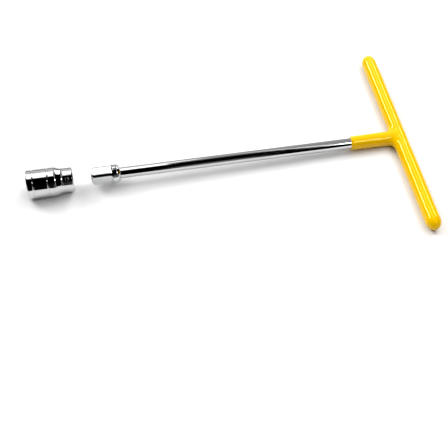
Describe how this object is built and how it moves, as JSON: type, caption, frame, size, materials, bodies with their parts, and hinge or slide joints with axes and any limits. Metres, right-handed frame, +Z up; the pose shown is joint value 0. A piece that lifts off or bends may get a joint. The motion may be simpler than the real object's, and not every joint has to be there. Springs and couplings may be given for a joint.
{
  "type": "t-handle socket wrench",
  "caption": "T-handle socket wrench: plastic-dipped cross handle, long round chromed shaft, square drive with a detent ball, and a lift-off hexagon socket.",
  "frame": {"origin": "centre of the bounding box, on the surface that the tool lies on, with the T-bar and the loose socket both resting on z = 0", "axes": "+X towards the T-handle and -X towards the socket, +Y along the T-bar, +Z up; the shaft's axis rises about 1 degree towards -X"},
  "size_m": [0.3474, 0.214, 0.0264],
  "materials": {
    "yellow_dip": "glossy dipped PVC, slightly uneven",
    "chrome_plate": "polished chrome plate",
    "bare_steel": "bare drawn steel, dull",
    "ball_steel": "polished bearing steel",
    "spring_steel": "oiled spring wire"
  },
  "bodies": {
    "wrench": {"shaft": "chrome_plate", "cross_bar": "bare_steel", "weld_bead": "bare_steel", "handle_coating": "yellow_dip", "drive_head": "chrome_plate", "detent_spring": "spring_steel"},
    "detent_ball": {"detent_ball": "ball_steel"},
    "socket": {"socket": "chrome_plate"}
  },
  "joints": [
    {"name": "socket_slide", "type": "slide", "parent": "wrench", "child": "socket", "axis": [0.9998, 0, -0.0186], "range_m": [-0.0325, 0.0325]},
    {"name": "ball_press", "type": "slide", "parent": "wrench", "child": "detent_ball", "axis": [0, -1, 0], "range_m": [0, 0.0012], "stiffness_N_per_m": 1500, "springref_m": -0.0005, "deforming": ["detent_spring"]}
  ]
}
